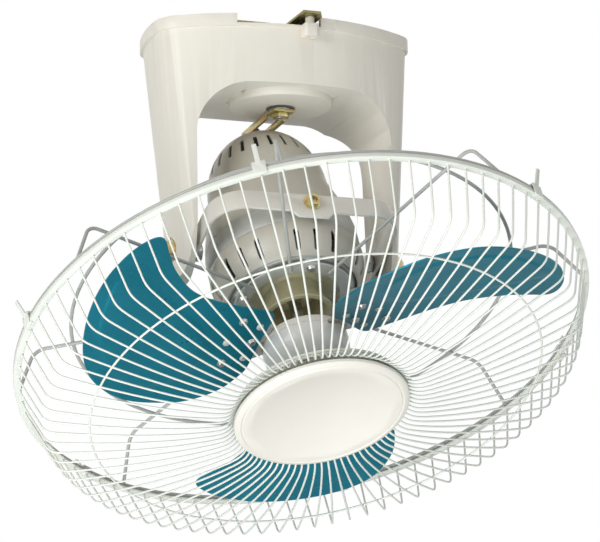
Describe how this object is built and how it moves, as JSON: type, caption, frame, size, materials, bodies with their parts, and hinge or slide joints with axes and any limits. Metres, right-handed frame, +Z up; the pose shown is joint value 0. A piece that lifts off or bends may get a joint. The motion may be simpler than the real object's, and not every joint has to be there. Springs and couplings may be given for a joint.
{
  "type": "orbit fan",
  "caption": "Ceiling-hung orbit fan: moulded arch housing, gimbal ring, motor in ventilated covers, domed wire guard and sickle-shaped blades, driven round by a crank.",
  "frame": {"origin": "centre of the four ceiling screw holes, in the plane of the ceiling", "axes": "+Z up into the ceiling; -Y toward the front of the housing, the side with the lock tongue; +X to the right seen from the front. The fan hangs below the origin and leans to the front at rest."},
  "size_m": [0.4509, 0.4024, 0.3712],
  "materials": {
    "housing_cream": "moulded, satin",
    "bracket_zinc": "yellow passivated zinc",
    "drive_case": "die cast, matt",
    "plain_steel": "plain steel",
    "terminal_white": "moulded",
    "bush_plastic": "moulded, self-lubricating",
    "ring_cream": "enamelled, satin",
    "cover_beige": "enamelled, satin",
    "motor_casting": "die cast, satin",
    "lamination": "varnished lamination steel",
    "copper": "varnished copper wire",
    "guard_white": "coated wire, satin",
    "cap_cream": "moulded, satin",
    "blade_teal": "metallic enamel, glossy",
    "hub_cream": "moulded, satin",
    "hub_white": "moulded, glossy"
  },
  "bodies": {
    "housing": {"ceiling_bracket": "bracket_zinc", "housing": "housing_cream", "lock_lug": "housing_cream", "orbit_gearbox": "drive_case", "orbit_motor": "plain_steel", "gearbox_screws": "plain_steel", "terminal_block": "terminal_white", "soffit_bush": "bush_plastic", "leg_bolts": "plain_steel", "leg_nuts": "bracket_zinc"},
    "crank": {"orbit_shaft": "plain_steel", "crank_fork": "bracket_zinc", "crank_washer": "plain_steel", "crank_nut": "bracket_zinc", "tail_socket": "bush_plastic", "fork_pin": "plain_steel"},
    "ring": {"gimbal_ring": "ring_cream", "leg_bushes": "bush_plastic", "ring_studs": "plain_steel", "ring_nuts": "bracket_zinc"},
    "head": {"motor_rear_cover": "cover_beige", "motor_front_cover": "cover_beige", "pivot_collar": "motor_casting", "rear_bracket": "motor_casting", "front_bell": "motor_casting", "stator_core": "lamination", "stator_windings": "copper", "motor_bearings": "plain_steel", "motor_screws": "plain_steel", "tail_pin": "plain_steel", "tail_nut": "bracket_zinc", "guard_plate": "motor_casting", "guard_screws": "plain_steel", "rear_struts": "guard_white", "rear_ring": "guard_white", "rear_rim": "guard_white", "front_rim": "guard_white", "front_wires": "guard_white", "front_ring": "guard_white", "cap_ring": "guard_white", "guard_cap": "cap_cream", "cap_backing": "cap_cream", "cap_screws": "plain_steel", "guard_clips": "guard_white"},
    "rotor": {"motor_shaft": "plain_steel", "rotor_core": "lamination", "blade_hub": "hub_cream", "hub_dome": "hub_white", "hub_nut": "plain_steel", "blade_arms": "plain_steel", "blade_1": "blade_teal", "blade_2": "blade_teal", "blade_3": "blade_teal", "blade_screws": "plain_steel", "blade_rivets": "motor_casting"}
  },
  "joints": [
    {"name": "crank_spin", "type": "hinge", "parent": "housing", "child": "crank", "pos_m": [0, 0, -0.06], "axis": [0, 0, 1], "continuous": true},
    {"name": "ring_tilt", "type": "hinge", "parent": "housing", "child": "ring", "pos_m": [0, 0, -0.1773], "axis": [1, 0, 0], "range_deg": [-0.5, 50.5]},
    {"name": "head_tilt", "type": "hinge", "parent": "ring", "child": "head", "pos_m": [0, 0, -0.1773], "axis": [0, 0.9063, -0.4226], "range_deg": [-23, 27]},
    {"name": "rotor_spin", "type": "hinge", "parent": "head", "child": "rotor", "pos_m": [0, 0, -0.1773], "axis": [0.0349, -0.4224, -0.9058], "continuous": true}
  ]
}
